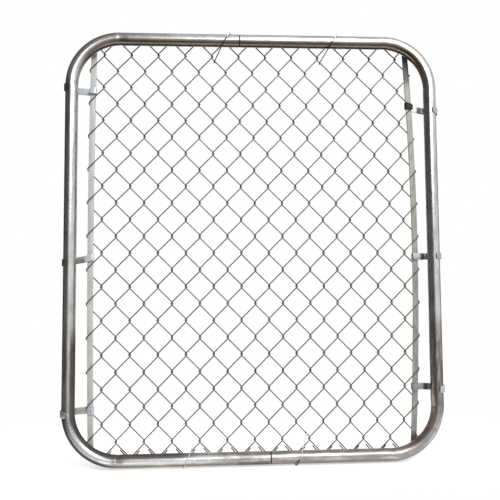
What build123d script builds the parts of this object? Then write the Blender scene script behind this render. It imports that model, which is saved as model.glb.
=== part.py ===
# Chain link walk gate leaf.
# Two bent tube halves make a round-cornered frame. Woven wire fabric lies against the back of
# the tubes, stretched between two flat tension bars that strap clips hold to the stiles.
# Millimetres, +Z up, +X along the rails, the front of the gate faces -Y.
# The origin is on the axis of the left stile, at the lower hinge seat.

import os
from math import acos, asin, atan2, ceil, cos, degrees, hypot, pi, radians, sin, tan

from build123d import *

# Frame tube
frame_width = 1067.0
frame_height = 1219.0
tube_diameter = 34.9
tube_wall = 1.65
bend_radius = 136.0
hinge_rise = 252.0

# Joint between the two frame halves
seam_offset = 40.0
seam_gap = 1.6
spigot_length = 50.0
spigot_shoulder = 6.0
spigot_clearance = 0.15

# Tension bars, each bowed towards its stile at mid height
bar_width = 15.9
bar_thickness = 4.8
bar_end_gap = 17.05
left_bar_inset = 50.0
right_bar_inset = 45.0
left_bar_bow = 6.0
right_bar_bow = 18.0

# Woven fabric. Its mesh is stretched to a whole number of rows and wires
wire_side = 2.5
mesh_width = 39.7
mesh_height = 48.0
top_reach = 10.95
bottom_reach = 4.95
knuckle_rise = 5.0
wire_clearance = 0.15
bar_clearance = 0.5
top_tail_length = 27.0
bottom_tail_length = 38.0
tail_clearance = 1.0
cut_share = 0.55

# Strap clips
clip_width = 19.0
clip_thickness = 1.6
clip_clearance = 0.15
clip_fold_radius = 2.6
clip_rounding = 8.5
clip_corner_skew = 1.88
clip_paddle_angle = 34.0
clip_paddle_reach = 12.0
clip_paddle_radius = 4.0

# How many rows each clip sits above a row where wire loops round the bar
left_clip_rises = {"top": 0.75, "middle": 0.73, "bottom": -0.15}
right_clip_rises = {"top": 0.02, "middle": 0.73, "bottom": 0.9}

# How far each clip's stile end hangs below its bar end
left_clip_drops = {"top": 0.0, "middle": 10.0, "bottom": 0.0}
right_clip_drops = {"top": 19.0, "middle": 0.0, "bottom": 0.0}

# How far each clip folds back over the front of its bar
left_clip_laps = {"top": 19.5, "middle": 26.0, "bottom": 19.5}
right_clip_laps = {"top": 22.0, "middle": 25.0, "bottom": 19.5}

# Tie wires, hooked beside the knuckles that lie nearest these distances from the gate's middle
tie_diameter = 3.0
tie_sides = 6
tie_clearance = 0.15
tie_bend_radius = 17.0
tie_end_angle = 40.0
tie_hook_distance = 14.0
tie_hook_clearance = 0.9
tie_hook_radius = 3.6
top_tie_lean = 33.0
bottom_tie_lean = 25.0
top_tie_offsets = {"left": -120.0, "right": 190.0}
bottom_tie_offsets = {"left": -158.0, "right": 152.0}

# Places worked out from the sizes above
tube_radius = tube_diameter / 2
socket_radius = tube_radius - tube_wall
spigot_radius = socket_radius - spigot_clearance
spigot_bore_radius = spigot_radius - tube_wall
left_stile = 0.0
right_stile = frame_width - tube_diameter
bottom_rail = -hinge_rise
top_rail = bottom_rail + frame_height - tube_diameter
middle_x = (left_stile + right_stile) / 2
middle_z = (bottom_rail + top_rail) / 2
bar_length = top_rail - bottom_rail - 2 * bar_end_gap

# The wire's corners reach half a diagonal from its middle line
wire_reach = wire_side * 2**0.5 / 2
hook_offset = wire_reach + wire_clearance / 2
strand_depth = bar_thickness / 2 + wire_clearance + wire_reach
fabric_y = tube_radius + wire_clearance + wire_reach + strand_depth
front_y = fabric_y - strand_depth
back_y = fabric_y + strand_depth
column_offset = bar_width / 2 + bar_clearance + wire_reach - hook_offset
fabric_width = right_stile - left_stile - left_bar_inset - right_bar_inset + 2 * column_offset
wire_count = round(fabric_width / mesh_width)
top_row = top_rail + top_reach
bottom_row = bottom_rail - bottom_reach
row_count = round((top_row - bottom_row) / mesh_height)
row_pitch = (top_row - bottom_row) / row_count

# Wire loops round the bars in every second row
loop_rows = {"top": 4, "middle": 2 * ceil(row_count / 4), "bottom": 2 * ((row_count - 3) // 2)}


def bow(z, depth):
    """How far a bowed bar has moved in from its middle at height z."""
    return depth * ((z - middle_z) / (bar_length / 2)) ** 2


def left_bar(z):
    return left_stile + left_bar_inset + bow(z, left_bar_bow)


def right_bar(z):
    return right_stile - right_bar_inset - bow(z, right_bar_bow)


def column(number, z):
    """Middle of a fabric column at height z, counted from 0 at the left bar."""
    left = left_bar(z) - column_offset
    right = right_bar(z) + column_offset
    return left + (right - left) * number / wire_count


def row(number):
    return top_row - number * row_pitch


def bend(wire, number):
    """The two points where a wire turns between its front and back strands, going up."""
    z = row(number)
    low = z - knuckle_rise / 2
    high = z + knuckle_rise / 2
    if (number + wire) % 2 == 0:
        x = column(wire, z) + hook_offset
        return (x, front_y, low), (x, back_y, high)
    x = column(wire - 1, z) - hook_offset
    return (x, back_y, low), (x, front_y, high)


def tail(start, outward, upward):
    """The end of a wire, folded back until it meets its neighbour's strand."""
    run = column(1, start[2]) - column(0, start[2]) + 2 * hook_offset
    strand_angle = atan2(row_pitch - knuckle_rise, run)
    room = knuckle_rise * cos(strand_angle) + 2 * hook_offset * sin(strand_angle)
    length = bottom_tail_length if upward > 0 else top_tail_length
    angle = strand_angle + asin((room - 2 * wire_reach - tail_clearance) / length)
    reach_x = length * cos(angle)
    reach_z = length * sin(angle)
    return (start[0] + outward * reach_x, start[1], start[2] + upward * reach_z)


def wire_end(wire, number, upward):
    """The last points of a wire: a knuckled turn, or a cut end if the turn would miss the bar."""
    near, far = bend(wire, number)[::upward]
    outward = 1 if (number + wire) % 2 == 0 else -1
    if wire == (wire_count if outward > 0 else 1):
        start = Vector(bend(wire, number + upward)[::upward][1])
        return [start + (Vector(near) - start) * cut_share]
    return [near, far, tail(far, outward, -upward)]


def wire_points(wire):
    """A flattened helix from the bottom selvage to the top one."""
    points = wire_end(wire, row_count, -1)[::-1]
    for number in range(row_count - 1, 0, -1):
        points += bend(wire, number)
    return points + wire_end(wire, 0, 1)


os.makedirs("parts", exist_ok=True)


# Left half of the frame, with a reduced spigot on its lower end
with BuildPart() as frame_left_half:
    with BuildLine(Plane.XZ) as left_path:
        FilletPolyline(
            (middle_x - seam_offset - seam_gap / 2, top_rail),
            (left_stile, top_rail),
            (left_stile, bottom_rail),
            (middle_x + seam_offset - seam_gap / 2, bottom_rail),
            radius=bend_radius,
        )
    with BuildSketch(Plane(origin=left_path.line @ 0, z_dir=left_path.line % 0)):
        Circle(tube_radius)
        Circle(socket_radius, mode=Mode.SUBTRACT)
    sweep(path=left_path.line)
    lower_end = Plane(origin=left_path.line @ 1, z_dir=left_path.line % 1)
    with BuildSketch(lower_end.offset(-spigot_shoulder)):
        Circle(socket_radius)
        Circle(spigot_bore_radius, mode=Mode.SUBTRACT)
    extrude(amount=spigot_shoulder)
    with BuildSketch(lower_end):
        Circle(spigot_radius)
        Circle(spigot_bore_radius, mode=Mode.SUBTRACT)
    extrude(amount=spigot_length)

# The right half is the same piece, turned half round
with BuildPart() as frame_right_half:
    turning_axis = Axis((middle_x, 0, middle_z), (0, 1, 0))
    add(frame_left_half.part.rotate(turning_axis, 180))

frame_left_half.part.label = "frame_left_half"
export_step(frame_left_half.part, "parts/frame_left_half.step")
frame_right_half.part.label = "frame_right_half"
export_step(frame_right_half.part, "parts/frame_right_half.step")


# Flat tension bars
def make_bar(bar_middle):
    low = middle_z - bar_length / 2
    high = middle_z + bar_length / 2
    half = bar_width / 2
    with BuildPart() as bar:
        with BuildSketch(Plane.XZ.offset(-fabric_y)):
            with BuildLine():
                inner = ThreePointArc(
                    (bar_middle(low) - half, low),
                    (bar_middle(middle_z) - half, middle_z),
                    (bar_middle(high) - half, high),
                )
                outer = ThreePointArc(
                    (bar_middle(low) + half, low),
                    (bar_middle(middle_z) + half, middle_z),
                    (bar_middle(high) + half, high),
                )
                Line(inner @ 0, outer @ 0)
                Line(inner @ 1, outer @ 1)
            make_face()
        extrude(amount=bar_thickness / 2, both=True)
    return bar.part


for side, bar_middle in (("left", left_bar), ("right", right_bar)):
    tension_bar = make_bar(bar_middle)
    tension_bar.label = f"tension_bar_{side}"
    export_step(tension_bar, f"parts/tension_bar_{side}.step")


# Woven wires
for wire in range(1, wire_count + 1):
    with BuildPart() as fabric_wire:
        with BuildLine() as helix:
            Polyline(*wire_points(wire))
        with BuildSketch(Plane(origin=helix.line @ 0, z_dir=helix.line % 0)):
            Rectangle(wire_side, wire_side)
        sweep(path=helix.line, transition=Transition.RIGHT)
    fabric_wire.part.label = f"fabric_wire_{wire:02d}"
    export_step(fabric_wire.part, f"parts/fabric_wire_{wire:02d}.step")


# Strap clips: a flat paddle lies against the stile, and the strap runs round the outside of the
# stile, behind the bar and round the bar's inner edge
def make_clip(stile, inward, bar_middle, lap, drop, z):
    inset = abs(bar_middle(z) - stile)
    spread = clip_width / 2 + drop * bar_width / inset
    insets = [abs(bar_middle(z + end) - stile) for end in (-spread, spread)]
    wrap = tube_radius + clip_clearance + clip_thickness / 2
    stack = strand_depth + wire_reach + clip_clearance + clip_thickness / 2
    edge = bar_width / 2 + clip_clearance + clip_thickness / 2
    fold = max(insets) + edge
    knee = min(insets) - bar_width / 2 - bar_clearance - 2 * wire_reach - clip_thickness
    behind = fabric_y + stack
    before = fabric_y - stack
    slope = atan2(behind, knee) - asin(wrap / hypot(behind, knee))
    leaves = (-wrap * sin(slope), wrap * cos(slope))
    facing = radians(270 - clip_paddle_angle)
    touching = Vector(wrap * cos(facing), wrap * sin(facing))
    along = Vector(-sin(facing), cos(facing))
    with BuildPart() as clip:
        with BuildSketch(Plane.XY.offset(z - 2 * clip_width - drop)):
            with BuildLine():
                FilletPolyline(
                    touching + along * clip_paddle_reach,
                    (-wrap, -wrap * tan((facing - pi) / 2)),
                    (-wrap, 0),
                    radius=clip_paddle_radius,
                )
                CenterArc((0, 0), wrap, 180, degrees(slope) - 90)
                FilletPolyline(
                    leaves,
                    (knee, behind),
                    (fold, behind),
                    (fold, before),
                    (fold - lap, before),
                    radius=clip_fold_radius,
                )
            trace(line_width=clip_thickness)
        extrude(amount=4 * clip_width + 2 * drop)

        # The strap's upper and lower edges slope down together towards the stile
        with BuildSketch(Plane.XZ):
            with BuildLine():
                outer = (-2 * tube_radius, z - drop * (1 + 2 * tube_radius / inset))
                inner = (2 * inset, z + drop)
                Polyline(
                    (outer[0], outer[1] - clip_width / 2),
                    (inner[0], inner[1] - clip_width / 2),
                    (inner[0], inner[1] + clip_width / 2),
                    (outer[0], outer[1] + clip_width / 2),
                    close=True,
                )
            make_face()
        extrude(amount=2 * fabric_y, both=True, mode=Mode.INTERSECT)

        # A sloping strap's corners are skewed through its wall, which limits their rounding
        skew = drop / inset
        rounding = clip_rounding / max(1, clip_rounding * skew / (clip_corner_skew * clip_thickness))
        paddle_edge = (cos(facing), sin(facing), cos(facing) * skew)
        for direction in (Axis((0, 0, 0), paddle_edge), Axis.Y):
            ends = clip.edges().filter_by(direction)
            ends = ends.filter_by(lambda edge: edge.length < clip_thickness * 1.1)
            fillet(ends, radius=rounding)
    placed = clip.part if inward > 0 else clip.part.mirror(Plane.YZ)
    return placed.translate((stile, 0, 0))


for place, rise in left_clip_rises.items():
    clip_z = row(loop_rows[place] - rise)
    drop = left_clip_drops[place]
    strap = make_clip(left_stile, 1, left_bar, left_clip_laps[place], drop, clip_z)
    strap.label = f"clip_left_{place}"
    export_step(strap, f"parts/clip_left_{place}.step")

for place, rise in right_clip_rises.items():
    clip_z = row(loop_rows[place] - rise)
    drop = right_clip_drops[place]
    strap = make_clip(right_stile, -1, right_bar, right_clip_laps[place], drop, clip_z)
    strap.label = f"clip_right_{place}"
    export_step(strap, f"parts/clip_right_{place}.step")


# Tie wires: hooked round a strand beside a knuckle, slanted over the front of the rail and round it
def make_tie(offset, near_row, rail, upward, lean):
    z = row(near_row)
    left = column(0, z)
    number = round((middle_x + offset - left) / (column(1, z) - left))
    number += (number + near_row) % 2
    knuckle_x = column(number, z)
    strand_angle = atan2(row_pitch - knuckle_rise, fabric_width / wire_count + 2 * hook_offset)
    along = upward * (-hook_offset + tie_hook_distance * cos(strand_angle))
    down = upward * (knuckle_rise / 2 + tie_hook_distance * sin(strand_angle))
    hook_x = knuckle_x + along
    hook_z = z - down
    rail_x = hook_x + (rail - hook_z) * tan(radians(lean))

    # In a plane through the rail that leans with the wire, with Y across it
    leaning = Vector(upward * sin(radians(lean)), 0, upward * cos(radians(lean)))
    across = Vector(0, 1, 0)
    slant = Plane(origin=(rail_x, 0, rail), x_dir=across, z_dir=across.cross(leaning))
    wrap = tube_radius + tie_clearance + tie_diameter / 2
    stretch = 1 / cos(radians(lean))
    hook_reach = wire_reach + tie_hook_clearance + tie_diameter / 2
    hook_at = -abs(rail - hook_z) * stretch
    hook_side = back_y - hook_reach

    # The straight run touches the wrap, so its first corner lies where two tangents meet
    to_hook = hypot(hook_side, (hook_at - hook_reach) / stretch)
    leaving = atan2((hook_at - hook_reach) / stretch, hook_side) - acos(wrap / to_hook)
    corner = tan((pi + leaving) / 2)
    end = radians(tie_end_angle)
    top = tan(pi / 4 - end / 2)
    with BuildPart() as tie:
        with BuildLine(slant) as path:
            FilletPolyline(
                (wrap * cos(end), wrap * sin(end) * stretch),
                (wrap * top, wrap * stretch),
                (-wrap, wrap * stretch),
                (-wrap, -wrap * corner * stretch),
                (hook_side, hook_at - hook_reach),
                (back_y + hook_reach, hook_at - hook_reach),
                (back_y + hook_reach, hook_at + hook_reach / 2),
                radius=[tie_bend_radius] * 3 + [tie_hook_radius] * 2,
            )
        with BuildSketch(Plane(origin=path.line @ 0, z_dir=path.line % 0)):
            RegularPolygon(tie_diameter / 2, tie_sides)
        sweep(path=path.line)
    return tie.part


for side, offset in top_tie_offsets.items():
    tie_wire = make_tie(offset, 1, top_rail, 1, top_tie_lean)
    tie_wire.label = f"tie_top_{side}"
    export_step(tie_wire, f"parts/tie_top_{side}.step")

for side, offset in bottom_tie_offsets.items():
    tie_wire = make_tie(offset, row_count - 1, bottom_rail, -1, bottom_tie_lean)
    tie_wire.label = f"tie_bottom_{side}"
    export_step(tie_wire, f"parts/tie_bottom_{side}.step")
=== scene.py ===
# Looks for the chain link walk gate leaf, built round its CAD part.
# The scene is in metres, +Z up, and the front of the gate faces -Y. Shapes are worked out in
# millimetres, in the part's own frame, and scaled by MM where their meshes are made.

from collections import namedtuple
from math import acos, asin, atan2, cos, hypot, pi, radians, sin, tan

import bpy
from mathutils import Matrix, Vector


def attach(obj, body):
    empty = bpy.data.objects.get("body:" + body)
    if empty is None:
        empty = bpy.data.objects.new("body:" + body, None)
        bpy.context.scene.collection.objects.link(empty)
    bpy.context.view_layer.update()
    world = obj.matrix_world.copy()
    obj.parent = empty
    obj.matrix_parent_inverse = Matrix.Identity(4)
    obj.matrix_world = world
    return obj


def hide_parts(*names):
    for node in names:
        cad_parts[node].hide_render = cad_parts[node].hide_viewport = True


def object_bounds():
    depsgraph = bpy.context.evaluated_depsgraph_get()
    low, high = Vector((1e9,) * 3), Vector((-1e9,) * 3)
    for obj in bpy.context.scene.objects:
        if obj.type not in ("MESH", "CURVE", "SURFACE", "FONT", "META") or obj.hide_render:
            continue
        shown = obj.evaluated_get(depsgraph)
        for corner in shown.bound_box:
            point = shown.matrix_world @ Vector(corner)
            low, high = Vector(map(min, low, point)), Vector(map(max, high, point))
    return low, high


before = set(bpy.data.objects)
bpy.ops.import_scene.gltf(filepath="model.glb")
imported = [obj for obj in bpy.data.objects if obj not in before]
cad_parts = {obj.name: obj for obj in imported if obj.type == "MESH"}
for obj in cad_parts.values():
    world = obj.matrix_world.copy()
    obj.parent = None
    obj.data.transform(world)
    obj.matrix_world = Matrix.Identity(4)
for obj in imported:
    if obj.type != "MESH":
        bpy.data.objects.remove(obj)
bounds_at_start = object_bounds()

MM = 0.001

# Frame tube. The left stile's axis is at x = 0
TUBE_R = 17.45
WALL = 1.65
RIGHT = 1032.1
LOW = -252.0
HIGH = 932.1
BEND = 136.0
MID_X = RIGHT / 2
MID_Z = (LOW + HIGH) / 2
TUBE_SIDES = 64

# Joint between the two frame halves
SEAM = 40.0
SEAM_GAP = 1.6
SPIGOT = 50.0
SPIGOT_EDGE = 0.4
SHOULDER = 6.0
SOCKET_DEPTH = 60.0
RIM = 0.3

# Steps along the tube within this distance of the bender's marks, and elsewhere
NEAR_MARK = 100.0
FINE_STEP = 3.0
PLAIN_STEP = 14.0

# Gap between pieces that all but touch
CLEAR = 0.15

# Tension bars, each bowed towards its stile at mid height
BAR_W = 15.9
BAR_T = 4.8
BAR_GAP = 0.5
BAR_CORNER = 0.9
BAR_STEPS = 60
BAR_END_GAP = 17.05
HALF_BAR = (HIGH - LOW) / 2 - BAR_END_GAP
LEFT_INSET = 50.0
LEFT_BOW = 6.0
RIGHT_INSET = 45.0
RIGHT_BOW = 18.0

# Woven fabric. The side is that of the part's four-sided wire, whose corners reach half a
# diagonal from its middle line, and the radius is that of the round wire shown here
WIRES = 24
ROWS = 25
WIRE_SIDE = 2.5
WIRE_R = 1.7
WIRE_SIDES = 10
WIRE_BEND = 5.5
RISE = 5.0
TOP_TAIL = 27.0
BOTTOM_TAIL = 38.0
TAIL_GAP = 1.0
CUT_SHARE = 0.55
TOP_REACH = 10.95
BOTTOM_REACH = 4.95
REACH = WIRE_SIDE * 2 ** 0.5 / 2
HOOK = REACH + CLEAR / 2
DEPTH = BAR_T / 2 + CLEAR + REACH
FABRIC_Y = TUBE_R + CLEAR + REACH + DEPTH
FRONT_Y = FABRIC_Y - DEPTH
BACK_Y = FABRIC_Y + DEPTH
OFFSET = BAR_W / 2 + BAR_GAP + REACH - HOOK
TOP_ROW = HIGH + TOP_REACH
LOW_ROW = LOW - BOTTOM_REACH
PITCH = (TOP_ROW - LOW_ROW) / ROWS

# Strap clips. CLIP_TIP keeps the tip of a round end from closing to a point
CLIP_W = 19.0
CLIP_T = 1.6
CLIP_CORNER = 0.45
CLIP_END = 8.5
CLIP_TIP = 0.2
FOLD_BEND = 2.6
PADDLE_ANGLE = 34.0
PADDLE_REACH = 12.0
PADDLE_BEND = 4.0
HUG_STEPS = 29
CLIP_STEP = 0.9

# Which row each clip lies near, and how many rows it sits above it
CLIP_ROWS = {"top": 4, "middle": 14, "bottom": 22}
LEFT_RISES = {"top": 0.75, "middle": 0.73, "bottom": -0.15}
RIGHT_RISES = {"top": 0.02, "middle": 0.73, "bottom": 0.9}

# How far each clip's stile end hangs below its bar end
LEFT_DROPS = {"top": 0.0, "middle": 10.0, "bottom": 0.0}
RIGHT_DROPS = {"top": 19.0, "middle": 0.0, "bottom": 0.0}

# How far each clip folds back over the front of its bar
LEFT_LAPS = {"top": 19.5, "middle": 26.0, "bottom": 19.5}
RIGHT_LAPS = {"top": 22.0, "middle": 25.0, "bottom": 19.5}

# Tie wires. The part's wire is a little thicker than the one shown
TIE_R = 1.5
SHOWN_TIE_R = 1.42
TIE_SIDES = 14
TIE_END = 40.0
TIE_BEND = 17.0
TIE_HOOK = 14.0
TIE_HOOK_GAP = 0.9
TIE_HOOK_BEND = 3.6
TOP_LEAN = 33.0
BOTTOM_LEAN = 25.0
TOP_TIES = {"left": 9, "right": 17}
BOTTOM_TIES = {"left": 8, "right": 16}


def left_bar(z):
    return LEFT_INSET + LEFT_BOW * ((z - MID_Z) / HALF_BAR) ** 2


def right_bar(z):
    return RIGHT - RIGHT_INSET - RIGHT_BOW * ((z - MID_Z) / HALF_BAR) ** 2


def column(number, z):
    left = left_bar(z) - OFFSET
    right = right_bar(z) + OFFSET
    return left + (right - left) * number / WIRES


def row(number):
    return TOP_ROW - number * PITCH


# Mesh helpers
def new_mesh(name, verts, faces, along):
    """A smooth mesh. Along holds each point's place on its strip or tube, for the materials."""
    mesh = bpy.data.meshes.new(name)
    mesh.from_pydata([(v[0] * MM, v[1] * MM, v[2] * MM) for v in verts], [], faces)
    mesh.validate()
    mesh.polygons.foreach_set("use_smooth", [True] * len(mesh.polygons))
    mesh.update()
    layer = mesh.attributes.new("along", "FLOAT_VECTOR", "POINT")
    layer.data.foreach_set("vector", [c * MM for v in along for c in v])
    piece = bpy.data.objects.new(name, mesh)
    bpy.context.scene.collection.objects.link(piece)
    return piece


def skin(rings, size, capped=True):
    """Faces that join rings of points, with both ends closed where capped."""
    faces = []
    for i in range(rings - 1):
        for k in range(size):
            n = (k + 1) % size
            faces.append((i * size + k, i * size + n, (i + 1) * size + n, (i + 1) * size + k))
    if capped:
        faces.append(tuple(range(size)))
        faces.append(tuple(reversed(range((rings - 1) * size, rings * size))))
    return faces


def rounded(points, radii, turn_step):
    """A polyline with arcs at its inner corners, and a point about every turn_step radians."""
    straight = 0.02
    largest_share = 0.48
    points = [Vector(p) for p in points]
    out = [points[0]]
    for i in range(1, len(points) - 1):
        before = points[i - 1] - points[i]
        after = points[i + 1] - points[i]
        radius = radii[i - 1] if isinstance(radii, list) else radii
        angle = before.angle(after)
        if pi - angle < straight:
            out.append(points[i])
            continue
        reach = radius / tan(angle / 2)
        limit = largest_share * min(before.length, after.length)
        if reach > limit:
            reach = limit
            radius = reach * tan(angle / 2)
        a = points[i] + before.normalized() * reach
        b = points[i] + after.normalized() * reach
        middle = (before.normalized() + after.normalized()).normalized()
        centre = points[i] + middle * (radius / sin(angle / 2))
        turn = pi - angle
        count = max(2, int(turn / turn_step))
        start = a - centre
        end = b - centre
        for k in range(count + 1):
            t = k / count
            mixed = start * sin((1 - t) * turn) + end * sin(t * turn)
            out.append(centre + mixed / sin(turn))
    out.append(points[-1])
    return out


def tangent_at(path, i):
    a = path[max(0, i - 1)]
    b = path[min(len(path) - 1, i + 1)]
    return (b - a).normalized()


def frames(path):
    """The normal and the side at each point, carried along without twist."""
    tangents = [tangent_at(path, i) for i in range(len(path))]
    first = Vector((0, 1, 0))
    if abs(tangents[0].dot(first)) > 0.9:
        first = Vector((0, 0, 1))
    normal = (first - tangents[0] * first.dot(tangents[0])).normalized()
    out = []
    for tangent in tangents:
        normal = (normal - tangent * normal.dot(tangent)).normalized()
        out.append((normal, tangent.cross(normal)))
    return out


def round_sweep(name, path, radius, sides):
    verts = []
    along = []
    run = 0.0
    last = path[0]
    for point, (normal, side) in zip(path, frames(path)):
        run += (point - last).length
        last = point
        for k in range(sides):
            a = 2 * pi * k / sides
            verts.append(point + (normal * cos(a) + side * sin(a)) * radius)
            along.append((run, radius * cos(a), radius * sin(a)))
    return new_mesh(name, verts, skin(len(path), sides), along)


# Pieces and their slots, for the materials
dressed = []


def dress(piece, node, slot):
    """Puts a finer piece in the place of a node of the part."""
    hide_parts(node)
    dressed.append((piece, slot))


# Woven wires
def bend(wire, number):
    """The two corners where a wire turns round its neighbour, or round a bar, in one row."""
    z = row(number)
    low = z - RISE / 2
    high = z + RISE / 2
    if (number + wire) % 2 == 0:
        x = column(wire, z) + HOOK
        return (x, FRONT_Y, low), (x, BACK_Y, high)
    x = column(wire - 1, z) - HOOK
    return (x, BACK_Y, low), (x, FRONT_Y, high)


def tail(start, outward, upward):
    """The tip of a tail that clears the wire beside it."""
    run = column(1, start[2]) - column(0, start[2]) + 2 * HOOK
    slope = atan2(PITCH - RISE, run)
    room = RISE * cos(slope) + 2 * HOOK * sin(slope)
    length = BOTTOM_TAIL if upward > 0 else TOP_TAIL
    angle = slope + asin((room - 2 * REACH - TAIL_GAP) / length)
    return (start[0] + outward * length * cos(angle), start[1], start[2] + upward * length * sin(angle))


def wire_end(wire, number, upward):
    """The last points of a wire: a tail, or beside a bar a strand that is cut short."""
    near, far = bend(wire, number)[::upward]
    outward = 1 if (number + wire) % 2 == 0 else -1
    if wire == (WIRES if outward > 0 else 1):
        start = Vector(bend(wire, number + upward)[::upward][1])
        return [start + (Vector(near) - start) * CUT_SHARE]
    return [near, far, tail(far, outward, -upward)]


for wire in range(1, WIRES + 1):
    points = wire_end(wire, ROWS, -1)[::-1]
    for number in range(ROWS - 1, 0, -1):
        points += bend(wire, number)
    points += wire_end(wire, 0, 1)
    path = rounded(points, WIRE_BEND, turn_step=0.22)
    piece = round_sweep(f"wire_{wire:02d}", path, WIRE_R, WIRE_SIDES)
    dress(piece, f"fabric_wire_{wire:02d}", "fabric_wire")


# Marks that the tube bender left at both ends of each bend, and how deep they are. They are
# on the tube's inner side, at this angle from its front
MARKS = [
    (Vector((BEND, 0, HIGH)), 1.3),
    (Vector((0, 0, HIGH - BEND)), 0.8),
    (Vector((0, 0, LOW + BEND)), 0.8),
    (Vector((BEND, 0, LOW)), 1.3),
]
MARK_SPREAD = 6.0
MARK_ANGLE = radians(50)

# Ripples inside the lower left bend: how deep, how far to the right they go, where they are and
# how close in shares of the bend's height, and their angle from the tube's front
RIPPLE = 0.35
RIPPLE_X = 60.0
RIPPLE_MIDDLE = 0.33
RIPPLE_HALF = 0.3
RIPPLE_RATE = 95
RIPPLE_ANGLE = radians(35)


def dent(point, angle, turned):
    """How far the tube's wall is pressed in at an angle round it, in millimetres."""
    inner = max(0.0, cos(angle + MARK_ANGLE))
    depth = 0.0
    for place, deepest in MARKS:
        far = (point - place).length
        depth += deepest * 2.7 ** -((far / MARK_SPREAD) ** 2) * inner
    if point.x < RIPPLE_X and point.z < LOW + BEND and not turned:
        run = (BEND - (point.z - LOW)) / BEND
        fade = max(0.0, 1 - abs(run - RIPPLE_MIDDLE) / RIPPLE_HALF)
        depth += RIPPLE * fade * (1 + sin(run * RIPPLE_RATE)) * max(0.0, cos(angle + RIPPLE_ANGLE)) ** 2
    return depth


def tube_path():
    """The middle line of the left half, with more points near the marks."""
    corners = [
        (MID_X - SEAM - SEAM_GAP / 2, 0, HIGH),
        (0, 0, HIGH),
        (0, 0, LOW),
        (MID_X + SEAM - SEAM_GAP / 2, 0, LOW),
    ]
    coarse = rounded(corners, BEND, turn_step=0.018)
    path = [coarse[0]]
    for a, b in zip(coarse, coarse[1:]):
        near_mark = min((a.lerp(b, 0.5) - place).length for place, _ in MARKS) < NEAR_MARK
        count = max(1, int((b - a).length / (FINE_STEP if near_mark else PLAIN_STEP)))
        path += [a.lerp(b, k / count) for k in range(1, count + 1)]
    return path


def tube_rings(path):
    """Places and radii along the tube, from inside the socket to inside the spigot."""
    lead_in = (path[1] - path[0]).normalized()
    lead_out = (path[-1] - path[-2]).normalized()
    socket = TUBE_R - WALL
    spigot = socket - CLEAR
    bore = spigot - WALL
    head = [(SOCKET_DEPTH, socket), (RIM, socket), (0, socket)]
    head += [(0, TUBE_R - RIM), (RIM, TUBE_R), (SEAM_GAP / 2, TUBE_R)]
    foot = [(-SEAM_GAP / 2, TUBE_R), (-RIM, TUBE_R), (0, TUBE_R - RIM), (0, spigot)]
    foot += [(SPIGOT - SPIGOT_EDGE, spigot), (SPIGOT, spigot - SPIGOT_EDGE)]
    foot += [(SPIGOT, bore), (-SHOULDER, bore)]
    rings = [(path[0] + lead_in * away, radius) for away, radius in head]
    rings += [(point, TUBE_R) for point in path[1:-1]]
    return rings + [(path[-1] + lead_out * away, radius) for away, radius in foot]


def outward_at(point):
    """The direction from the tube's middle line towards the outside of the frame."""
    if point.x < BEND and point.z > HIGH - BEND:
        return (point - Vector((BEND, 0, HIGH - BEND))).normalized()
    if point.x < BEND and point.z < LOW + BEND:
        return (point - Vector((BEND, 0, LOW + BEND))).normalized()
    if point.z > HIGH - 1:
        return Vector((0, 0, 1))
    if point.z < LOW + 1:
        return Vector((0, 0, -1))
    return Vector((-1, 0, 0))


# The turned half starts this far along the pattern of dirt, so that the two halves differ
PATTERN_SHIFT = 2500.0


def half_frame(name, turned):
    """The left half of the frame, or the same turned half round about the gate's middle."""
    rings = tube_rings(tube_path())
    forward = Vector((0, -1, 0))
    verts = []
    along = []
    run = 0.0
    before = rings[0][0]
    for point, radius in rings:
        run += (point - before).length
        before = point
        out = outward_at(point)
        for k in range(TUBE_SIDES):
            a = 2 * pi * k / TUBE_SIDES
            wall = radius - (dent(point, a, turned) if radius == TUBE_R else 0.0)
            verts.append(point + (forward * cos(a) + out * sin(a)) * wall)
            along.append((run, radius * cos(a), radius * sin(a)))
    if turned:
        verts = [Vector((2 * MID_X - v.x, v.y, 2 * MID_Z - v.z)) for v in verts]
        along = [(a + PATTERN_SHIFT, b, c) for a, b, c in along]
    return new_mesh(name, verts, skin(len(rings), TUBE_SIDES, False), along)


dress(half_frame("tube_left", False), "frame_left_half", "frame_tube")
dress(half_frame("tube_right", True), "frame_right_half", "frame_tube")


# Bars and straps: a flat section swept along a path
def strap_section(half_width, half_thick, corner, steps=3):
    corner = min(corner, half_width * 0.9, half_thick * 0.9)
    out = []
    for cx, cy, start in ((1, 1, 0), (-1, 1, 90), (-1, -1, 180), (1, -1, 270)):
        for k in range(steps + 1):
            a = radians(start + 90 * k / steps)
            out.append((
                cx * (half_width - corner) + corner * cos(a),
                cy * (half_thick - corner) + corner * sin(a),
            ))
    return out


def half_width_at(to_end, half_width, end_radius):
    """Half the strap's width at a distance from its round end."""
    if to_end >= end_radius:
        return half_width
    gone = end_radius - to_end
    return half_width - end_radius + max(end_radius ** 2 - gone ** 2, CLIP_TIP ** 2) ** 0.5


def strap_sweep(name, path, across, half_width, half_thick, corner, end_radius=0.0):
    """Across is the direction of the width."""
    lengths = [0.0]
    for a, b in zip(path, path[1:]):
        lengths.append(lengths[-1] + (b - a).length)
    verts = []
    along = []
    for i, point in enumerate(path):
        thick = tangent_at(path, i).cross(across).normalized()
        to_end = min(lengths[i], lengths[-1] - lengths[i])
        ring = strap_section(half_width_at(to_end, half_width, end_radius), half_thick, corner)
        for u, v in ring:
            verts.append(point + across * u + thick * v)
            along.append((lengths[i], u, v))
    return new_mesh(name, verts, skin(len(path), len(ring)), along)


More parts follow.
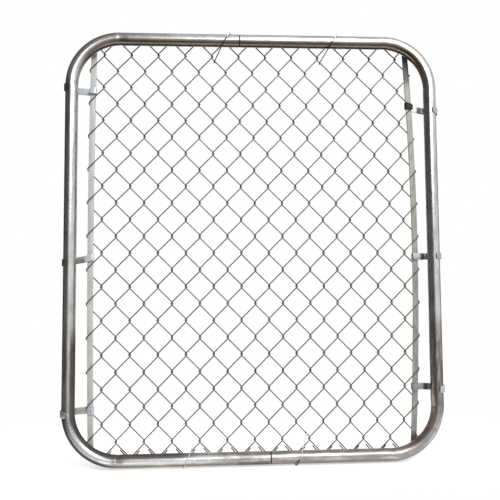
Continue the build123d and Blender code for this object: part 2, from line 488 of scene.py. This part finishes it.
for side, middle in (("left", left_bar), ("right", right_bar)):
    path = []
    for k in range(BAR_STEPS + 1):
        z = MID_Z - HALF_BAR + 2 * HALF_BAR * k / BAR_STEPS
        path.append(Vector((middle(z), FABRIC_Y, z)))
    piece = strap_sweep(f"bar_{side}", path, Vector((1, 0, 0)), BAR_W / 2, BAR_T / 2, BAR_CORNER)
    dress(piece, f"tension_bar_{side}", "tension_bar")


def clip(name, stile, inward, middle, lap, drop, z):
    """A strap from its paddle on the stile, round the stile's back and folded over the bar."""
    inset = abs(middle(z) - stile)
    spread = CLIP_W / 2 + drop * BAR_W / inset
    insets = [abs(middle(z + end) - stile) for end in (-spread, spread)]
    wrap = TUBE_R + CLEAR + CLIP_T / 2
    stack = DEPTH + REACH + CLEAR + CLIP_T / 2
    edge = BAR_W / 2 + CLEAR + CLIP_T / 2
    fold = max(insets) + edge
    knee = min(insets) - BAR_W / 2 - BAR_GAP - 2 * REACH - CLIP_T
    behind = FABRIC_Y + stack
    before = FABRIC_Y - stack
    slope = atan2(behind, knee) - asin(wrap / hypot(behind, knee))
    facing = radians(270 - PADDLE_ANGLE)
    end_x = wrap * cos(facing) - PADDLE_REACH * sin(facing)
    end_y = wrap * sin(facing) + PADDLE_REACH * cos(facing)
    paddle = [(end_x, end_y, 0), (-wrap, -wrap * tan((facing - pi) / 2), 0), (-wrap, 0, 0)]
    hug = []
    for k in range(1, HUG_STEPS + 1):
        a = pi + (slope - pi / 2) * k / HUG_STEPS
        hug.append(Vector((wrap * cos(a), wrap * sin(a), 0)))
    over = [hug[-1], (knee, behind, 0), (fold, behind, 0), (fold, before, 0), (fold - lap, before, 0)]
    smooth = rounded(paddle, PADDLE_BEND, turn_step=0.2) + hug[:-1]
    smooth += rounded(over, FOLD_BEND, turn_step=0.25)
    dense = []
    for a, b in zip(smooth, smooth[1:]):
        count = max(1, int((b - a).length / CLIP_STEP))
        dense += [a.lerp(b, k / count) for k in range(count)]
    dense.append(smooth[-1])
    points = [Vector((stile + inward * p.x, p.y, z + drop * (p.x / inset - 1))) for p in dense]
    return strap_sweep(name, points, Vector((0, 0, 1)), CLIP_W / 2, CLIP_T / 2, CLIP_CORNER, CLIP_END)


STILES = [
    ("left", 0.0, 1, left_bar, LEFT_LAPS, LEFT_DROPS, LEFT_RISES),
    ("right", RIGHT, -1, right_bar, RIGHT_LAPS, RIGHT_DROPS, RIGHT_RISES),
]
for place, number in CLIP_ROWS.items():
    for side, stile, inward, middle, laps, drops, rises in STILES:
        z = row(number - rises[place])
        piece = clip(f"strap_{side}_{place}", stile, inward, middle, laps[place], drops[place], z)
        dress(piece, f"clip_{side}_{place}", "strap_clip")


# Tie wires
def tie(name, number, near_row, rail, upward, lean):
    """A wire hooked on a strand beside a knuckle and wrapped round the rail."""
    number += (number + near_row) % 2
    knuckle_x = column(number, row(near_row))
    strand = atan2(PITCH - RISE, (column(1, MID_Z) - column(0, MID_Z)) + 2 * HOOK)
    hook_x = knuckle_x + upward * (-HOOK + TIE_HOOK * cos(strand))
    hook_z = row(near_row) - upward * (RISE / 2 + TIE_HOOK * sin(strand))
    rail_x = hook_x + (rail - hook_z) * tan(radians(lean))
    leaning = Vector((upward * sin(radians(lean)), 0, upward * cos(radians(lean))))
    across = Vector((0, 1, 0))
    origin = Vector((rail_x, 0, rail))
    wrap = TUBE_R + CLEAR + TIE_R
    stretch = 1 / cos(radians(lean))
    reach = REACH + TIE_HOOK_GAP + TIE_R
    hook_at = -abs(rail - hook_z) * stretch
    hook_side = BACK_Y - reach
    to_hook = hypot(hook_side, (hook_at - reach) / stretch)
    leaving = atan2((hook_at - reach) / stretch, hook_side) - acos(wrap / to_hook)
    corner = tan((pi + leaving) / 2)
    end = radians(TIE_END)
    top = tan(pi / 4 - end / 2)
    flat = [
        (wrap * cos(end), wrap * sin(end) * stretch),
        (wrap * top, wrap * stretch),
        (-wrap, wrap * stretch),
        (-wrap, -wrap * corner * stretch),
        (hook_side, hook_at - reach),
        (BACK_Y + reach, hook_at - reach),
        (BACK_Y + reach, hook_at + reach / 2),
    ]
    points = [origin + across * u + leaning * v for u, v in flat]
    path = rounded(points, [TIE_BEND] * 3 + [TIE_HOOK_BEND] * 2, turn_step=0.12)
    return round_sweep(name, path, SHOWN_TIE_R, TIE_SIDES)


for edge, ties, near_row, rail, upward, lean in (
        ("top", TOP_TIES, 1, HIGH, 1, TOP_LEAN),
        ("bottom", BOTTOM_TIES, ROWS - 1, LOW, -1, BOTTOM_LEAN)):
    for side, number in ties.items():
        piece = tie(f"tie_wire_{edge}_{side}", number, near_row, rail, upward, lean)
        dress(piece, f"tie_{edge}_{side}", "tie_wire")

for piece, _ in dressed:
    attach(piece, "root")


# Node graphs
def grey(value):
    return (value, value, value)


class Graph:
    """Adds nodes to a tree. Values may be numbers, colours or the outputs of other nodes."""

    def __init__(self, tree):
        self.nodes = tree.nodes
        self.links = tree.links

    def feed(self, value, socket):
        if isinstance(value, (int, float)):
            socket.default_value = value
        elif isinstance(value, tuple):
            socket.default_value = (*value, 1)
        else:
            self.links.new(value, socket)

    def maths(self, operation, a, b):
        node = self.nodes.new("ShaderNodeMath")
        node.operation = operation
        self.feed(a, node.inputs[0])
        self.feed(b, node.inputs[1])
        return node.outputs[0]

    def add(self, a, b):
        return self.maths("ADD", a, b)

    def times(self, a, b):
        return self.maths("MULTIPLY", a, b)

    def mix(self, factor, a, b, mode="MIX"):
        node = self.nodes.new("ShaderNodeMix")
        node.data_type = "RGBA"
        node.blend_type = mode
        self.feed(factor, node.inputs[0])
        self.feed(a, node.inputs[6])
        self.feed(b, node.inputs[7])
        return node.outputs[2]

    def ramp(self, source, stops):
        node = self.nodes.new("ShaderNodeValToRGB")
        self.links.new(source, node.inputs[0])
        elements = node.color_ramp.elements
        for k, (place, colour) in enumerate(stops):
            if k < 2:
                element = elements[k]
                element.position = place
            else:
                element = elements.new(place)
            element.color = (*colour, 1)
        return node.outputs[0]

    def noise(self, vector, scale=1.0, detail=5.0, rough=0.6, stretch=None):
        if stretch:
            mapping = self.nodes.new("ShaderNodeMapping")
            mapping.inputs["Scale"].default_value = stretch
            self.links.new(vector, mapping.inputs["Vector"])
            vector = mapping.outputs[0]
        node = self.nodes.new("ShaderNodeTexNoise")
        node.inputs["Scale"].default_value = scale
        node.inputs["Detail"].default_value = detail
        node.inputs["Roughness"].default_value = rough
        self.links.new(vector, node.inputs["Vector"])
        return node.outputs["Fac"]

    def step(self, value, start, end):
        """0 at start, rising smoothly to 1 at end, which may lie on either side of it."""
        node = self.nodes.new("ShaderNodeMapRange")
        node.interpolation_type = "SMOOTHSTEP"
        self.links.new(value, node.inputs["Value"])
        node.inputs["From Min"].default_value = start
        node.inputs["From Max"].default_value = end
        return node.outputs[0]

    def split(self, vector):
        node = self.nodes.new("ShaderNodeSeparateXYZ")
        self.links.new(vector, node.inputs[0])
        return node.outputs

    def region(self, spot, x, z, edge):
        """1 inside a box of the gate's face, fading out over its edge."""
        mask = self.step(spot[0], x[0] - edge, x[0])
        for value, outside, inside in ((spot[0], x[1] + edge, x[1]), (spot[2], z[0] - edge, z[0]),
                                       (spot[2], z[1] + edge, z[1])):
            mask = self.times(mask, self.step(value, outside, inside))
        return mask

    def seen(self):
        """1 for rays that show the background: from the camera, off metal and through glass."""
        rays = self.nodes.new("ShaderNodeLightPath").outputs
        direct = self.maths("MAXIMUM", rays["Is Camera Ray"], rays["Is Glossy Ray"])
        return self.maths("MAXIMUM", direct, rays["Is Transmission Ray"])


def material(name, build):
    mat = bpy.data.materials.new(name)
    mat.use_nodes = True
    build(Graph(mat.node_tree), mat.node_tree.nodes["Principled BSDF"])
    return mat


# Where things are on the gate's face, in metres. The first four lie beyond the frame
LEFT_END = -0.10
RIGHT_END = 1.10
BOTTOM_END = -0.40
TOP_END = 1.20
NEAR_TOP = (0.60, TOP_END)
NEAR_MIDDLE = (0.20, 0.45)
NEAR_BOTTOM = (BOTTOM_END, 0.00)
ALL_HEIGHTS = (BOTTOM_END, TOP_END)

# A patch covers a box of the gate's face, from x to x and from z to z, and fades over its edge
Patch = namedtuple("Patch", "x z edge colour strength rough")

# A strip is a band of painted dark reflection that runs along the tube inside such a box. It sets in
# from start to end, two distances from the tube's axis, positive towards the outside of the frame
Strip = namedtuple("Strip", "start end colour rough x z edge")

TUBE_DARK_REFLECTIONS = [
    # Painted dark reflections on the inner side of the left stile's foot, and on its outer half
    Strip(-0.006, -0.010, (0.05, 0.042, 0.036), 0.35, (LEFT_END, 0.03), (-0.13, 0.06), 0.07),
    Strip(-0.0025, 0.0015, (0.19, 0.165, 0.145), 0.30, (LEFT_END, 0.03), (-0.135, -0.07), 0.05),
    # Painted dark reflections on the inner and outer rim of the lower left bend
    Strip(-0.010, -0.0135, (0.06, 0.05, 0.043), 0.60, (LEFT_END, 0.10), (-0.262, -0.16), 0.04),
    Strip(0.001, 0.007, (0.055, 0.046, 0.040), 0.75, (LEFT_END, 0.09), (-0.262, -0.13), 0.05),
    # Painted dark reflection on the upper side of the lower rail, beside the bend
    Strip(-0.007, -0.012, (0.12, 0.10, 0.088), 0.35, (0.12, 0.30), (BOTTOM_END, -0.20), 0.06),
]
TUBE_PATCHES = [
    # Brown mottling on the right stile, and duller towards the lower right corner
    Patch((0.95, RIGHT_END), (-0.05, 0.03), 0.12, (0.27, 0.24, 0.215), 0.90, 0.32),
    Patch((0.45, RIGHT_END), (BOTTOM_END, -0.20), 0.08, (0.31, 0.295, 0.285), 0.75, 0.32),
    Patch((0.80, RIGHT_END), (BOTTOM_END, -0.12), 0.06, (0.30, 0.26, 0.235), 0.55, 0.36),
    # Pale zinc on the lower left bend, and a painted highlight line along the rail after it
    Patch((LEFT_END, 0.12), (BOTTOM_END, -0.14), 0.05, (0.52, 0.54, 0.56), 0.75, 0.28),
    Patch((0.09, 0.25), (-0.250, -0.244), 0.004, (0.86, 0.86, 0.86), 0.75, 0.20),
    Patch((0.25, 0.35), (-0.250, -0.244), 0.004, (0.86, 0.86, 0.86), 0.45, 0.20),
    # The dark mark of the tube bender at the lower left, and painted orange and pink highlights on the
    # right bends
    Patch((0.128, 0.145), (BOTTOM_END, -0.245), 0.012, (0.16, 0.145, 0.13), 0.60, 0.40),
    Patch((0.985, 1.005), (0.865, 0.905), 0.012, (0.60, 0.41, 0.28), 0.60, 0.30),
    Patch((1.005, 1.022), (-0.17, -0.12), 0.012, (0.62, 0.50, 0.44), 0.60, 0.30),
    # Painted shade on the underside of the lower rail
    Patch((0.10, 1.00), (BOTTOM_END, -0.262), 0.008, (0.24, 0.205, 0.18), 0.75, 0.34),
    # Dark lines at the two seams, and a stain beside the lower one
    Patch((0.4749, 0.4772), NEAR_TOP, 0.0012, (0.03, 0.025, 0.02), 0.95, 0.60),
    Patch((0.5549, 0.5572), NEAR_BOTTOM, 0.0012, (0.03, 0.025, 0.02), 0.95, 0.60),
    Patch((0.470, 0.545), (BOTTOM_END, -0.262), 0.012, (0.13, 0.105, 0.09), 0.55, 0.50),
]
BAR_PATCHES = [
    # The left bar is painted paler as painted light, and yellower towards its foot
    Patch((LEFT_END, 0.40), ALL_HEIGHTS, 0.02, (0.56, 0.55, 0.52), 0.95, 0.55),
    Patch((LEFT_END, 0.40), (BOTTOM_END, 0.10), 0.25, (0.60, 0.56, 0.49), 0.70, 0.55),
    # Dark ends of the right bar: painted shadow at the top end, and a dark bottom end
    Patch((0.95, 0.9795), (0.84, TOP_END), 0.040, (0.05, 0.045, 0.04), 0.85, 0.55),
    Patch((0.94, 1.0100), (BOTTOM_END, -0.210), 0.020, (0.06, 0.055, 0.05), 0.80, 0.55),
]
CLIP_PATCHES = [
    # Left clips between the stile and the bar
    Patch((0.013, 0.040), ALL_HEIGHTS, 0.004, (0.33, 0.345, 0.36), 0.90, 0.50),
    Patch((0.013, 0.040), NEAR_TOP, 0.004, (0.24, 0.26, 0.285), 0.90, 0.50),
    Patch((0.013, 0.032), NEAR_MIDDLE, 0.002, (0.17, 0.168, 0.165), 0.90, 0.50),
    Patch((0.013, 0.060), NEAR_BOTTOM, 0.004, (0.44, 0.455, 0.41), 0.85, 0.45),
    # Dark paddles of the left clips
    Patch((LEFT_END, 0.005), NEAR_MIDDLE, 0.010, (0.12, 0.085, 0.06), 0.85, 0.45),
    Patch((LEFT_END, 0.005), NEAR_TOP, 0.010, (0.05, 0.045, 0.04), 0.90, 0.45),
    # Round ends of the left clips painted pale blue-white as painted reflection, and a painted shadow
    # line under the top one
    Patch((0.0445, 0.08), NEAR_TOP, 0.001, (0.82, 0.88, 0.93), 0.95, 0.30),
    Patch((0.0345, 0.08), NEAR_MIDDLE, 0.001, (0.88, 0.93, 0.97), 0.95, 0.28),
    Patch((0.0445, 0.08), NEAR_BOTTOM, 0.001, (0.74, 0.79, 0.82), 0.90, 0.35),
    Patch((0.0400, 0.08), (0.770, 0.7786), 0.0012, (0.05, 0.045, 0.04), 0.95, 0.60),
    # Right clips: shade beside the stile, a pale neck and a dark round end at the top
    Patch((1.007, 1.012), ALL_HEIGHTS, 0.007, (0.05, 0.045, 0.04), 0.92, 0.40),
    Patch((0.990, 0.999), NEAR_TOP, 0.004, (0.60, 0.61, 0.62), 0.90, 0.30),
    Patch((0.90, 0.988), NEAR_TOP, 0.002, (0.045, 0.042, 0.036), 0.95, 0.90),
    # Round end and paddle of the bottom right clip
    Patch((0.90, 0.984), (BOTTOM_END, 0.10), 0.003, (0.36, 0.33, 0.34), 0.85, 0.45),
    Patch((1.036, RIGHT_END), (BOTTOM_END, 0.10), 0.003, (0.80, 0.81, 0.83), 0.90, 0.35),
]
WIRE_PATCHES = [
    # Dark tails at the bottom and at the top
    Patch((LEFT_END, RIGHT_END), (BOTTOM_END, -0.222), 0.006, (0.04, 0.034, 0.028), 0.75, 0.50),
    Patch((LEFT_END, RIGHT_END), (0.895, TOP_END), 0.010, (0.06, 0.045, 0.035), 0.60, 0.50),
]
TIE_PATCHES = [
    # The top ties have painted shade up to the rail's middle and a painted highlight above, and the
    # right bottom tie is dark
    Patch((0.30, 0.80), (0.50, 0.934), 0.004, (0.03, 0.022, 0.018), 0.95, 0.90),
    Patch((0.30, 0.80), (0.938, TOP_END), 0.004, (0.85, 0.85, 0.86), 0.90, 0.35),
    Patch((0.50, 0.80), (BOTTOM_END, -0.255), 0.006, (0.04, 0.03, 0.024), 0.92, 0.85),
]

# On the tube, a patch is mottled unless its edge is as sharp as this
SHARP_EDGE = 0.004

# How strong the painted dark reflection strips are, how much metal they hide and the tint they leave to
# glancing light
STRIP_STRENGTH = 0.88
STRIP_METAL_LOSS = 0.30
STRIP_GLANCE = (0.12, 0.10, 0.085)

# The spigot is painted dark inside this radius, as painted shade in the seams. The rust spot is on the
# right stile, and fades out between two distances from its middle, less or more where there is grime
SPIGOT_SHOWS = 0.0164
SPIGOT_FADE = 0.00005
RUST_SPOT = (1.02534, -0.01609, -0.01487)
RUST_INNER = 0.0050
RUST_OUTER = 0.0085
RUST_RAGGED = 0.006
RUST_AND_SEAM_SHADE_TONE = (0.045, 0.030, 0.022)
RUST_ROUGH = 0.7
RUST_METAL_LOSS = 0.7

BUMP_DEPTH = 0.0003


class Coat:
    """The colour, dullness and metal share of zinc-coated steel, covered layer by layer."""

    def __init__(self, graph, light, dark, rough, spangle, streak, metal):
        self.graph = graph
        coords = graph.nodes.new("ShaderNodeTexCoord").outputs
        self.normal = coords["Normal"]
        self.where = coords["Object"]
        self.spot = graph.split(self.where)
        along = graph.nodes.new("ShaderNodeAttribute")
        along.attribute_name = "along"
        self.along = along.outputs["Vector"]
        self.broad = graph.noise(self.along, stretch=(14.0, 60.0, 60.0))
        cells = graph.nodes.new("ShaderNodeTexVoronoi")
        cells.inputs["Scale"].default_value = spangle
        graph.links.new(self.where, cells.inputs["Vector"])
        flakes = graph.ramp(cells.outputs["Color"], [(0.0, grey(0.90)), (1.0, grey(1.03))])
        self.tone = graph.ramp(self.broad, [(0.35, dark), (0.62, light)])
        self.tone = graph.mix(0.6, self.tone, flakes, "MULTIPLY")
        self.grime = graph.noise(self.along, detail=8.0, rough=0.62, stretch=(22.0, streak, streak))
        uneven = graph.noise(self.along, stretch=(30.0, 90.0, 90.0))
        self.dull = graph.ramp(uneven, [(0.3, grey(rough - 0.06)), (0.7, grey(rough + 0.10))])
        self.metal = metal

    def cover(self, mask, colour, rough):
        self.tone = self.graph.mix(mask, self.tone, colour)
        self.dull = self.graph.mix(mask, self.dull, grey(rough))

    def less_metal(self, mask, amount):
        self.metal = self.graph.maths("SUBTRACT", self.metal, self.graph.times(mask, amount))

    def weather_and_shade(self):
        """Undersides are darkened with painted shade and hold more grime, and the tube is duller towards
        the ground and in two corners.
        """
        graph = self.graph
        down = graph.step(graph.split(self.normal)[2], 0.0, -1.0)
        # Painted shade: the colour darkens where the tube faces down
        shade = graph.ramp(down, [(0.0, grey(1)), (0.45, (0.88, 0.84, 0.80)), (1.0, (0.42, 0.38, 0.35))])
        self.tone = graph.mix(1.0, self.tone, shade, "MULTIPLY")
        self.grime = graph.add(self.grime, graph.times(down, 0.13))
        towards_ground = graph.step(self.spot[2], 0.95, -0.10)
        lower_right = graph.region(self.spot, (0.45, RIGHT_END), (BOTTOM_END, -0.20), 0.08)
        upper_left = graph.region(self.spot, (LEFT_END, 0.09), (0.84, TOP_END), 0.05)
        self.less_metal(towards_ground, 0.055)
        self.less_metal(lower_right, 0.11)
        self.less_metal(upper_left, 0.10)

    def soil(self, stain, dirt):
        mask = self.graph.ramp(self.grime, [(0.50, grey(0)), (0.70, grey(dirt))])
        self.tone = self.graph.mix(mask, self.tone, stain)

    def patch(self, patch, mottled):
        graph = self.graph
        mask = graph.times(graph.region(self.spot, patch.x, patch.z, patch.edge), patch.strength)
        if mottled:
            mask = graph.times(mask, graph.add(graph.step(self.grime, 0.36, 0.60), 0.45))
            mask = graph.maths("MINIMUM", mask, 1.0)
        shades = graph.add(graph.times(self.broad, 0.8), 0.6)
        self.cover(mask, graph.mix(1.0, patch.colour, shades, "MULTIPLY"), patch.rough)

    def paint_dark_reflections(self, shader):
        """Painted dark reflections run along the sides of the left stile, its lower bend and the lower
        rail beside it.
        """
        graph = self.graph
        outward = graph.split(self.along)[2]
        dark_reflections = 0.0
        for strip in TUBE_DARK_REFLECTIONS:
            mask = graph.step(outward, strip.start, strip.end)
            mask = graph.times(mask, graph.region(self.spot, strip.x, strip.z, strip.edge))
            mask = graph.times(mask, STRIP_STRENGTH)
            self.cover(mask, strip.colour, strip.rough)
            dark_reflections = graph.maths("MAXIMUM", mask, dark_reflections)
        self.less_metal(dark_reflections, STRIP_METAL_LOSS)
        glance = graph.mix(dark_reflections, grey(1), STRIP_GLANCE)
        graph.links.new(glance, shader.inputs["Specular Tint"])

    def seams_and_rust(self):
        """The spigot in the seams is painted dark as painted shade, and rust has broken out in one spot.
        """
        graph = self.graph
        place = graph.split(self.along)
        across = graph.add(graph.times(place[1], place[1]), graph.times(place[2], place[2]))
        # Painted shade: the spigot seen in the seams is darkened inside this radius
        inside = graph.step(across, (SPIGOT_SHOWS + SPIGOT_FADE) ** 2, (SPIGOT_SHOWS - SPIGOT_FADE) ** 2)
        far = graph.nodes.new("ShaderNodeVectorMath")
        far.operation = "DISTANCE"
        graph.links.new(self.where, far.inputs[0])
        far.inputs[1].default_value = RUST_SPOT
        ragged = graph.add(far.outputs["Value"], graph.times(self.grime, RUST_RAGGED))
        rust_and_seam_shade = graph.maths("MAXIMUM", inside, graph.step(ragged, RUST_OUTER, RUST_INNER))
        self.cover(rust_and_seam_shade, RUST_AND_SEAM_SHADE_TONE, RUST_ROUGH)
        self.less_metal(rust_and_seam_shade, RUST_METAL_LOSS)

    def finish(self, shader, bump):
        graph = self.graph
        graph.feed(self.tone, shader.inputs["Base Color"])
        graph.feed(self.metal, shader.inputs["Metallic"])
        graph.feed(self.dull, shader.inputs["Roughness"])
        node = graph.nodes.new("ShaderNodeBump")
        node.inputs["Strength"].default_value = bump
        node.inputs["Distance"].default_value = BUMP_DEPTH
        graph.links.new(graph.noise(self.along, stretch=(140.0, 420.0, 420.0)), node.inputs["Height"])
        graph.links.new(node.outputs[0], shader.inputs["Normal"])


def galvanized(light, dark, stain, rough, spangle, bump, dirt, streak, metal, patches, tube=False):
    """Zinc-coated steel with spangles, streaks of dirt and its patches."""
    def build(graph, shader):
        coat = Coat(graph, light, dark, rough, spangle, streak, metal)
        if tube:
            coat.weather_and_shade()
        coat.soil(stain, dirt)
        for patch in patches:
            coat.patch(patch, mottled=tube and patch.edge > SHARP_EDGE)
        if tube:
            coat.paint_dark_reflections(shader)
            coat.seams_and_rust()
        coat.finish(shader, bump)
    return build


METALS = {
    "frame_tube": material("galvanized_tube", galvanized(
        light=(0.70, 0.70, 0.69), dark=(0.55, 0.54, 0.53), stain=(0.25, 0.19, 0.14), rough=0.21,
        spangle=160.0, bump=0.2, dirt=0.5, streak=110.0, metal=0.995, patches=TUBE_PATCHES, tube=True)),
    "tension_bar": material("galvanized_bar", galvanized(
        light=(0.38, 0.37, 0.34), dark=(0.27, 0.26, 0.23), stain=(0.17, 0.13, 0.09), rough=0.50,
        spangle=200.0, bump=0.3, dirt=0.5, streak=90.0, metal=0.25, patches=BAR_PATCHES)),
    "strap_clip": material("galvanized_strap", galvanized(
        light=(0.60, 0.60, 0.59), dark=(0.44, 0.44, 0.42), stain=(0.24, 0.20, 0.15), rough=0.30,
        spangle=220.0, bump=0.3, dirt=0.4, streak=90.0, metal=0.7, patches=CLIP_PATCHES)),
    "fabric_wire": material("weathered_wire", galvanized(
        light=(0.235, 0.20, 0.17), dark=(0.13, 0.105, 0.085), stain=(0.08, 0.052, 0.034), rough=0.42,
        spangle=400.0, bump=0.3, dirt=0.6, streak=200.0, metal=0.7, patches=WIRE_PATCHES)),
    "tie_wire": material("oxidised_tie", galvanized(
        light=(0.72, 0.72, 0.72), dark=(0.50, 0.49, 0.48), stain=(0.10, 0.07, 0.045), rough=0.34,
        spangle=500.0, bump=0.3, dirt=0.3, streak=200.0, metal=0.45, patches=TIE_PATCHES)),
}

for piece, slot in dressed:
    piece.data.materials.clear()
    piece.data.materials.append(METALS[slot])


# Floor: pale, and white where no shadow falls
FLOOR_GAP = 0.0004
FLOOR_X = (-0.35, 1.4)
FLOOR_Y = (-0.20, 0.45)

floor_mesh = bpy.data.meshes.new("floor")
floor_z = bounds_at_start[0][2] - FLOOR_GAP
floor_mesh.from_pydata([
    (FLOOR_X[0], FLOOR_Y[0], floor_z),
    (FLOOR_X[1], FLOOR_Y[0], floor_z),
    (FLOOR_X[1], FLOOR_Y[1], floor_z),
    (FLOOR_X[0], FLOOR_Y[1], floor_z),
], [], [(0, 1, 2, 3)])
floor = bpy.data.objects.new("floor", floor_mesh)
bpy.context.scene.collection.objects.link(floor)


def floor_nodes(graph, shader):
    where = graph.nodes.new("ShaderNodeTexCoord").outputs["Object"]
    fine = graph.noise(where, scale=30.0, detail=3.0, rough=0.5)
    tone = graph.ramp(fine, [(0.0, (0.84, 0.845, 0.85)), (1.0, (0.88, 0.885, 0.89))])
    graph.feed(tone, shader.inputs["Base Color"])
    shader.inputs["Roughness"].default_value = 0.9
    shader.inputs["Specular IOR Level"].default_value = 0.0
    shader.inputs["Emission Color"].default_value = (1, 1, 1, 1)
    graph.feed(graph.times(graph.seen(), 0.42), shader.inputs["Emission Strength"])


floor.data.materials.append(material("pale_floor", floor_nodes))

# World: the camera sees white, and metal a pale studio with dark cards to the left and below
WHITE = grey(1.0)
world = bpy.data.worlds.new("studio")
bpy.context.scene.world = world
world.use_nodes = True
sky = Graph(world.node_tree)
sky.nodes.clear()
output = sky.nodes.new("ShaderNodeOutputWorld")
towards = sky.split(sky.nodes.new("ShaderNodeTexCoord").outputs["Generated"])


def grade(source, stops):
    """Colours by one part of the direction, with -1 to 1 laid over the ramp's 0 to 1."""
    return sky.ramp(sky.times(sky.add(source, 1.0), 0.5), stops)


heights = grade(towards[2], [
    (0.0, (0.42, 0.37, 0.32)), (0.05, (0.24, 0.20, 0.17)), (0.13, (0.15, 0.125, 0.105)),
    (0.23, (0.26, 0.23, 0.20)), (0.36, (0.50, 0.47, 0.44)), (0.43, (0.72, 0.70, 0.68)),
    (0.48, WHITE), (0.80, (0.86, 0.89, 0.94)), (1.0, (0.76, 0.80, 0.86))])
sides = grade(towards[0], [
    (0.0, grey(0.08)), (0.17, grey(0.075)), (0.30, (0.105, 0.088, 0.076)),
    (0.375, (0.27, 0.205, 0.16)), (0.415, (0.60, 0.50, 0.43)), (0.46, WHITE)])
fronts = grade(towards[1], [(0.0, WHITE), (0.46, grey(0.9)), (0.60, grey(0.35)), (0.80, grey(0.20))])
overhead = grade(towards[2], [(0.58, grey(0.0)), (0.68, grey(0.45)), (1.0, grey(0.6))])
white_behind = grade(towards[1], [(0.95, grey(0.0)), (0.97, WHITE)])
studio = sky.mix(1.0, heights, sides, "MULTIPLY")
studio = sky.mix(1.0, studio, sky.mix(overhead, fronts, WHITE), "MULTIPLY")
studio = sky.mix(white_behind, studio, WHITE)
is_camera = sky.nodes.new("ShaderNodeLightPath").outputs["Is Camera Ray"]
shown = sky.nodes.new("ShaderNodeBackground")
sky.feed(sky.mix(is_camera, studio, WHITE), shown.inputs["Color"])
shown.inputs["Strength"].default_value = 1.0
soft = sky.nodes.new("ShaderNodeBackground")
soft.inputs["Color"].default_value = (0.86, 0.90, 0.96, 1)
soft.inputs["Strength"].default_value = 0.75
mixer = sky.nodes.new("ShaderNodeMixShader")
sky.links.new(sky.seen(), mixer.inputs[0])
sky.links.new(soft.outputs[0], mixer.inputs[1])
sky.links.new(shown.outputs[0], mixer.inputs[2])
sky.links.new(mixer.outputs[0], output.inputs[0])


# Soft lights
def softbox(name, place, width, height, power, colour):
    light = bpy.data.lights.new(name, "AREA")
    light.shape = "RECTANGLE"
    light.size = width
    light.size_y = height
    light.energy = power
    light.color = colour
    holder = bpy.data.objects.new(name, light)
    holder.location = place
    facing = (Vector((MID_X * MM, 0, MID_Z * MM)) - Vector(place)).normalized()
    holder.rotation_euler = facing.to_track_quat("-Z", "Y").to_euler()
    bpy.context.scene.collection.objects.link(holder)


softbox("key", (1.6, -2.2, 2.3), width=1.6, height=1.2, power=55, colour=(1.0, 0.98, 0.95))
softbox("front", (0.9, -3.0, 1.5), width=1.6, height=0.9, power=16, colour=(0.95, 0.98, 1.0))

# Camera, fitted to the photograph
CAMERA_PLACE = (0.43155, -1.4140, 0.25085)
YAW = 0.050
PITCH_UP = 0.053
ROLL = -0.007

camera = bpy.data.cameras.new("camera")
camera.sensor_width = 36
camera.lens = 36
forward = Vector((sin(YAW) * cos(PITCH_UP), cos(YAW) * cos(PITCH_UP), sin(PITCH_UP)))
level_right = Vector((cos(YAW), -sin(YAW), 0))
level_up = level_right.cross(forward)
right = level_right * cos(ROLL) + level_up * sin(ROLL)
up = level_up * cos(ROLL) - level_right * sin(ROLL)
holder = bpy.data.objects.new("camera", camera)
turn = Matrix((right, up, -forward)).transposed()
holder.matrix_world = Matrix.Translation(CAMERA_PLACE) @ turn.to_4x4()
bpy.context.scene.collection.objects.link(holder)
bpy.context.scene.camera = holder
bpy.context.scene.view_settings.view_transform = "Standard"
